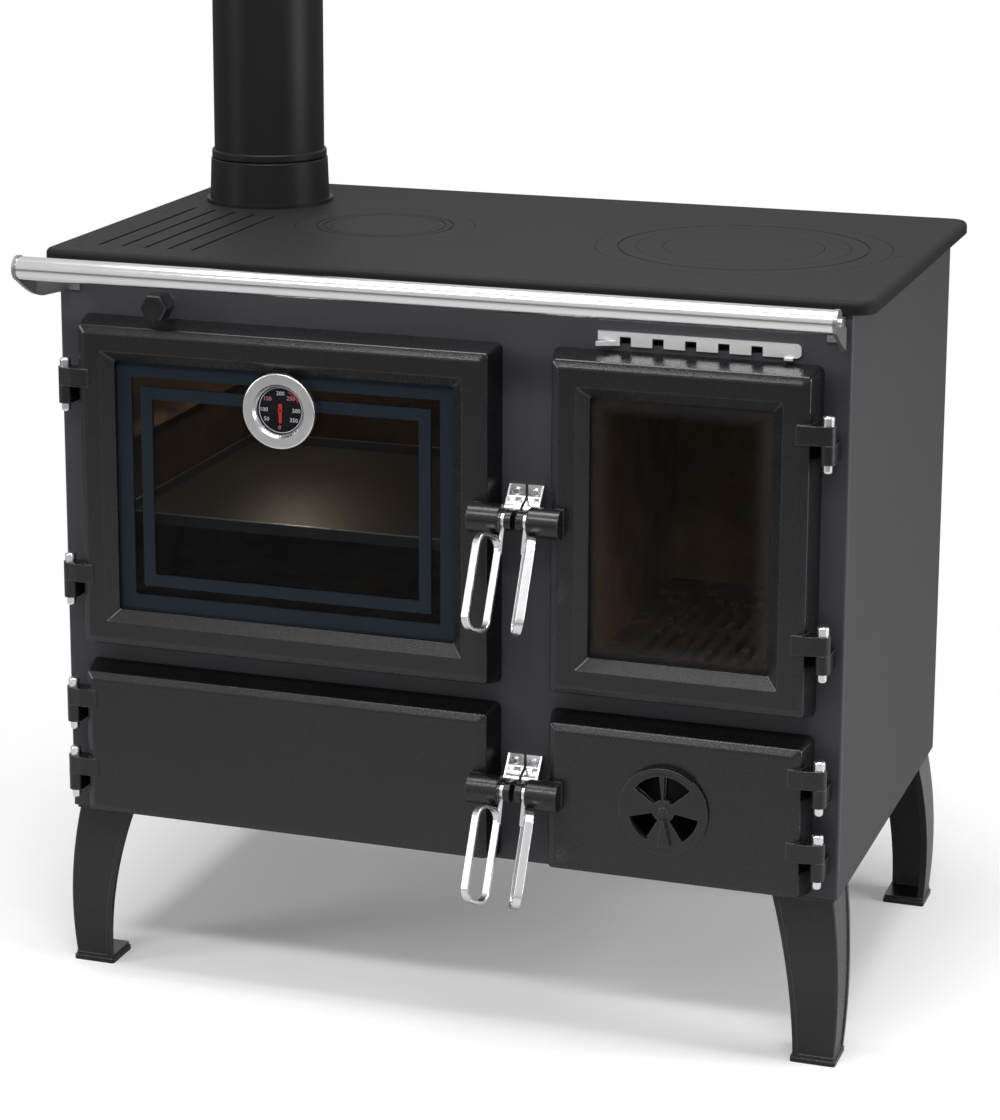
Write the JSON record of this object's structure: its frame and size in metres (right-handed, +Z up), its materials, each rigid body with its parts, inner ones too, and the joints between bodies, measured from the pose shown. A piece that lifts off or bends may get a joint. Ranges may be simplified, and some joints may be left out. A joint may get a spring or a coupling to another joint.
{
  "type": "wood cookstove",
  "caption": "Black free-standing wood cookstove with lift-off cooking rings, glazed oven and firebox doors, storage and ash doors, towel rail and flue pipe.",
  "frame": {"origin": "on the floor, at the middle of the stove's outline seen from above", "axes": "+Z up, -Y the front with the doors, +X to the right as seen from the front"},
  "size_m": [0.92, 0.6454, 1.16],
  "materials": {
    "cooktop_iron": "rough cast",
    "door_iron": "satin black enamel",
    "front_paint": "satin",
    "side_paint": "speckled satin",
    "black_paint": "satin",
    "polished_steel": "polished",
    "dark_steel": "oxidised",
    "tray_steel": "brushed",
    "glass": "clear with a printed border",
    "lens": "clear",
    "dial_face": "printed matt black",
    "needle_red": "matt",
    "black_plastic": "gloss",
    "rope_seal": "braided fibre",
    "fire_brick": "matt fired clay",
    "grate_iron": "burnt",
    "bracket_steel": "satin"
  },
  "bodies": {
    "stove": {"cooktop_plate": "cooktop_iron", "cooktop_screws": "cooktop_iron", "flue_collar": "black_paint", "flue_pipe": "black_paint", "front_panel": "front_paint", "side_panel_left": "side_paint", "side_panel_right": "side_paint", "back_panel": "side_paint", "base_panel": "side_paint", "leg_front_left": "door_iron", "leg_front_right": "door_iron", "leg_rear_left": "door_iron", "leg_rear_right": "door_iron", "hinge_lugs": "door_iron", "hinge_pins": "polished_steel", "latch_keepers": "polished_steel", "keeper_rivets": "polished_steel", "towel_rail": "polished_steel", "rail_bracket_left": "bracket_steel", "rail_bracket_right": "bracket_steel", "rail_screws": "polished_steel", "oven_liner": "dark_steel", "oven_runners": "dark_steel", "lower_housing": "dark_steel", "fire_floor": "grate_iron", "fire_grate": "grate_iron", "fire_bricks": "fire_brick"},
    "oven_door": {"oven_door": "door_iron", "oven_door_seal": "rope_seal", "oven_glass_retainer": "dark_steel", "oven_glass": "glass", "thermometer_case": "polished_steel", "thermometer_dial": "dial_face", "thermometer_lens": "lens"},
    "fire_door": {"fire_door": "door_iron", "fire_door_seal": "rope_seal", "fire_glass_retainer": "dark_steel", "fire_glass": "glass"},
    "storage_door": {"storage_door": "door_iron"},
    "ash_door": {"ash_door": "door_iron"},
    "oven_latch": {"oven_latch_handle": "polished_steel", "oven_latch_cam": "polished_steel"},
    "fire_latch": {"fire_latch_handle": "polished_steel", "fire_latch_cam": "polished_steel"},
    "storage_latch": {"storage_latch_handle": "polished_steel", "storage_latch_cam": "polished_steel"},
    "ash_latch": {"ash_latch_handle": "polished_steel", "ash_latch_cam": "polished_steel"},
    "thermometer_hand": {"thermometer_needle": "needle_red"},
    "air_wheel": {"air_wheel": "door_iron"},
    "air_slide": {"air_slide": "polished_steel"},
    "damper": {"damper_rod": "polished_steel", "damper_knob": "black_plastic"},
    "left_ring": {"left_cooking_ring": "cooktop_iron"},
    "left_lid": {"left_cooking_lid": "cooktop_iron"},
    "right_outer": {"right_outer_ring": "cooktop_iron"},
    "right_inner": {"right_inner_ring": "cooktop_iron"},
    "right_lid": {"right_cooking_lid": "cooktop_iron"},
    "oven_tray": {"oven_tray": "tray_steel"},
    "ash_drawer": {"ash_drawer": "dark_steel"}
  },
  "joints": [
    {"name": "oven_door_swing", "type": "hinge", "parent": "stove", "child": "oven_door", "pos_m": [-0.423, -0.22831, 0.57], "axis": [0, 0, -1], "range_deg": [0, 115]},
    {"name": "fire_door_swing", "type": "hinge", "parent": "stove", "child": "fire_door", "pos_m": [0.423, -0.22831, 0.57], "axis": [0, 0, 1], "range_deg": [0, 115]},
    {"name": "storage_door_swing", "type": "hinge", "parent": "stove", "child": "storage_door", "pos_m": [-0.423, -0.22831, 0.276], "axis": [0, 0, -1], "range_deg": [0, 115]},
    {"name": "ash_door_swing", "type": "hinge", "parent": "stove", "child": "ash_door", "pos_m": [0.423, -0.22831, 0.276], "axis": [0, 0, 1], "range_deg": [0, 115]},
    {"name": "oven_latch_turn", "type": "hinge", "parent": "oven_door", "child": "oven_latch", "pos_m": [0.07, -0.24331, 0.576], "axis": [-1, 0, 0], "range_deg": [0, 60]},
    {"name": "fire_latch_turn", "type": "hinge", "parent": "fire_door", "child": "fire_latch", "pos_m": [0.126, -0.24331, 0.576], "axis": [-1, 0, 0], "range_deg": [0, 60]},
    {"name": "storage_latch_turn", "type": "hinge", "parent": "storage_door", "child": "storage_latch", "pos_m": [0.07, -0.24331, 0.278], "axis": [-1, 0, 0], "range_deg": [0, 60]},
    {"name": "ash_latch_turn", "type": "hinge", "parent": "ash_door", "child": "ash_latch", "pos_m": [0.126, -0.24331, 0.278], "axis": [-1, 0, 0], "range_deg": [0, 60]},
    {"name": "thermometer_turn", "type": "hinge", "parent": "oven_door", "child": "thermometer_hand", "pos_m": [-0.171, -0.21831, 0.67], "axis": [0, 1, 0], "range_deg": [0, 270]},
    {"name": "air_wheel_turn", "type": "hinge", "parent": "ash_door", "child": "air_wheel", "pos_m": [0.261, -0.23731, 0.276], "axis": [0, 1, 0], "range_deg": [-28, 28]},
    {"name": "air_slide_move", "type": "slide", "parent": "stove", "child": "air_slide", "axis": [1, 0, 0], "range_m": [0, 0.017]},
    {"name": "damper_pull", "type": "slide", "parent": "stove", "child": "damper", "axis": [0, -1, 0], "range_m": [0, 0.06]},
    {"name": "left_ring_lift", "type": "slide", "parent": "stove", "child": "left_ring", "axis": [0, 0, 1], "range_m": [0, 0.06]},
    {"name": "left_lid_lift", "type": "slide", "parent": "left_ring", "child": "left_lid", "axis": [0, 0, 1], "range_m": [0, 0.06]},
    {"name": "right_outer_ring_lift", "type": "slide", "parent": "stove", "child": "right_outer", "axis": [0, 0, 1], "range_m": [0, 0.06]},
    {"name": "right_inner_ring_lift", "type": "slide", "parent": "right_outer", "child": "right_inner", "axis": [0, 0, 1], "range_m": [0, 0.06]},
    {"name": "right_lid_lift", "type": "slide", "parent": "right_inner", "child": "right_lid", "axis": [0, 0, 1], "range_m": [0, 0.06]},
    {"name": "oven_tray_slide", "type": "slide", "parent": "stove", "child": "oven_tray", "axis": [0, -1, 0], "range_m": [0, 0.024]},
    {"name": "ash_drawer_slide", "type": "slide", "parent": "stove", "child": "ash_drawer", "axis": [0, -1, 0], "range_m": [0, 0.016]}
  ]
}
